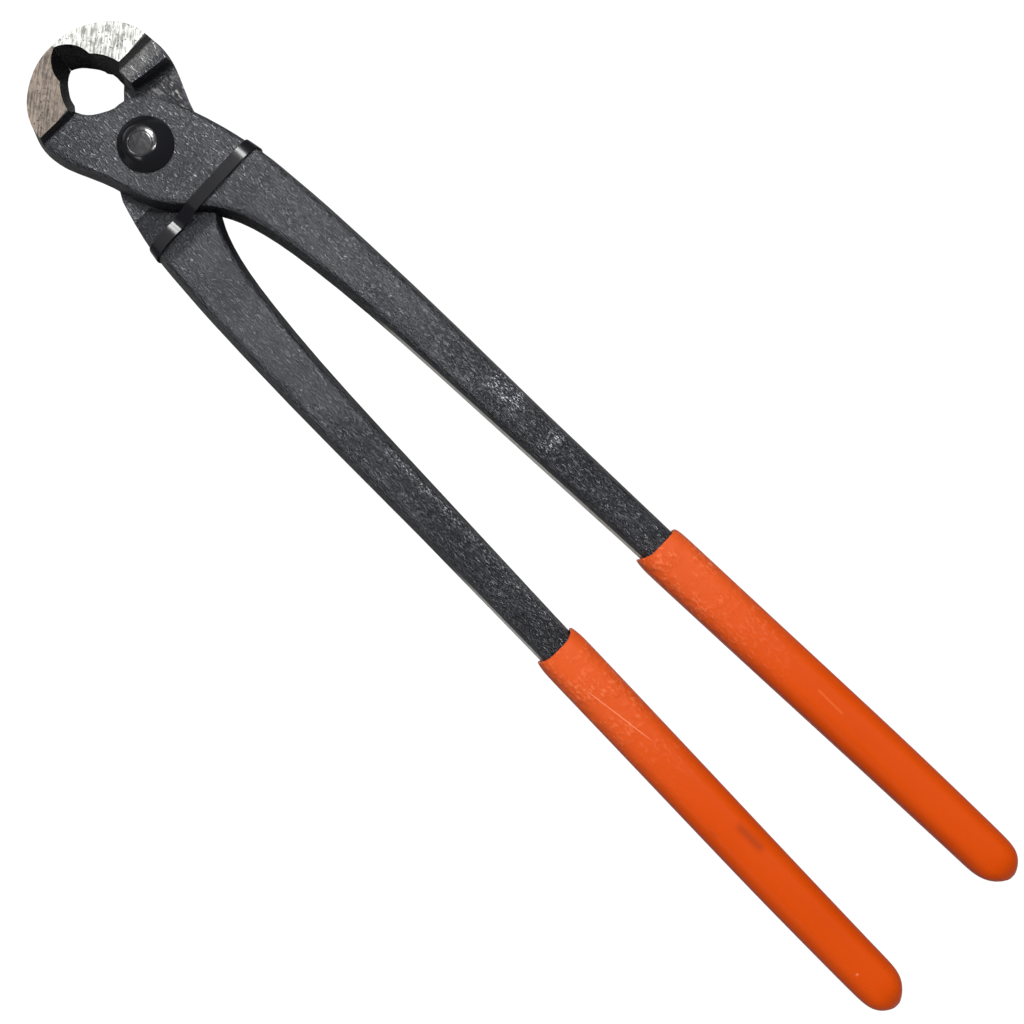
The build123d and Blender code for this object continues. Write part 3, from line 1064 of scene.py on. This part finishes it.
bpy.ops.mesh.primitive_plane_add(size=tie_width * MM)
tie = bpy.context.object
tie.name = "cable_tie"
bpy.ops.object.mode_set(mode="EDIT")
pick(lambda co: co.y > 0)
bpy.ops.mesh.delete(type="VERT")
bpy.ops.mesh.select_all(action="SELECT")
bpy.ops.transform.translate(value=places[0] - Vector((0, -tie_width / 2, 0)) * MM)
for old, new in zip(places, places[1:] + places[:1]):
    bpy.ops.mesh.extrude_region_move()
    bpy.ops.transform.translate(value=new - old)
bpy.ops.mesh.select_all(action="SELECT")
bpy.ops.mesh.remove_doubles(threshold=touching)
bpy.ops.mesh.normals_make_consistent(inside=False)
print("ribbon vertices:", len(bmesh.from_edit_mesh(tie.data).verts))

# %% [markdown]
# The arms widen towards the handles, so the strap twists to lie flat on their outer sides. Each
# side is turned in three shares, the outermost points most. Only then does a solidify modifier
# give the ribbon its thickness outwards, and a bevel rounds its edges.

# %% Twist and thicken the strap
# The side of the tool and the twist in degrees, and the distances from which each share acts.
side_twists = ((1, 7.1), (-1, -12.9))
twist_from = (14.5, 15.6, 16.6)
tie_thickness = 0.38
tie_round = 0.17
tie_round_angle = 50

for side, twist in side_twists:
    centre = tie_middle + Vector((0, side * path[0][0], 0)) * MM
    share = twist / len(twist_from)
    for limit in twist_from:
        pick(lambda co: side * (co.y - tie_middle.y) > limit * MM)
        bpy.ops.transform.rotate(value=math.radians(-share), orient_axis="Z",
                                 center_override=centre)
bpy.ops.object.mode_set(mode="OBJECT")
ribbon = tie.modifiers.new("thickness", "SOLIDIFY")
ribbon.thickness = tie_thickness * MM
ribbon.offset = 1
bpy.ops.object.modifier_apply(modifier=ribbon.name)
round_edges(tie, tie_round, tie_round_angle)
print("strap:", len(tie.data.polygons), "faces")

# %% [markdown]
# The head that locks the strap is a block with a slot in its back, and the tail leaves it. Both
# are added to the strap's own mesh, because strap, head and tail are one moulding. They sit at
# the back of the tool, behind the handle of the front arm.

# %% Head and tail
head_y = 10.7
head_z = -6.8
head_size = (4.8, 5.4, 3.4)
head_round = 0.55
slot_wall = 0.55
slot_depth = 0.7
tail_size = (2.9, 2.4, 0.9)
tail_round = 0.15
tail_overlap = 0.3
block_segments = 3


def block(size, place, width):
    """Adds a box with rounded edges to the mesh in edit mode, sizes and place in millimetres."""
    bpy.ops.mesh.primitive_cube_add(size=1, location=(0, 0, 0))
    bpy.ops.transform.resize(value=Vector(size) * MM, center_override=(0, 0, 0))
    bpy.ops.transform.translate(value=tie_middle + Vector(place) * MM)
    bpy.ops.mesh.bevel(offset=width * MM, segments=block_segments, affect="EDGES")


bpy.ops.object.mode_set(mode="EDIT")
bpy.ops.mesh.select_all(action="DESELECT")
block(head_size, (0, head_y, head_z), head_round)
back_z = pivot.z + (head_z - head_size[2] / 2) * MM
pick(lambda co: abs(co.z - back_z) < touching)
bpy.ops.mesh.inset(thickness=slot_wall * MM)
bpy.ops.mesh.extrude_region_move()
bpy.ops.transform.translate(value=(0, 0, slot_depth * MM))
bpy.ops.mesh.select_all(action="DESELECT")
tail_y = head_y - (head_size[1] + tail_size[1]) / 2 + tail_overlap
block(tail_size, (0, tail_y, head_z), tail_round)
print("with head and tail:", len(bmesh.from_edit_mesh(tie.data).faces), "faces")

# %% [markdown]
# Nobody puts a tie on quite straight, so the whole of it leans by a few degrees. The strap lies
# on the front arm's plate and on the rear arm's handle, and the other way round behind. So the
# change from one arm to the other runs aslant, down and across the loop.

# %% Finish the tie
tie_skew = 2.9
tie_slide = -0.14
tie_shade_angle = 21

bpy.ops.mesh.select_all(action="SELECT")
bpy.ops.transform.rotate(value=math.radians(-tie_skew), orient_axis="Z", center_override=tie_middle)
bpy.ops.transform.translate(value=(0, tie_slide * MM, 0))
bpy.ops.object.mode_set(mode="OBJECT")
bpy.ops.object.shade_smooth_by_angle(angle=math.radians(tie_shade_angle))
tie.data.materials.append(nylon)
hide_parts("nylon_tie")
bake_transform(tie)
print(tie.name, len(tie.data.polygons), "faces")
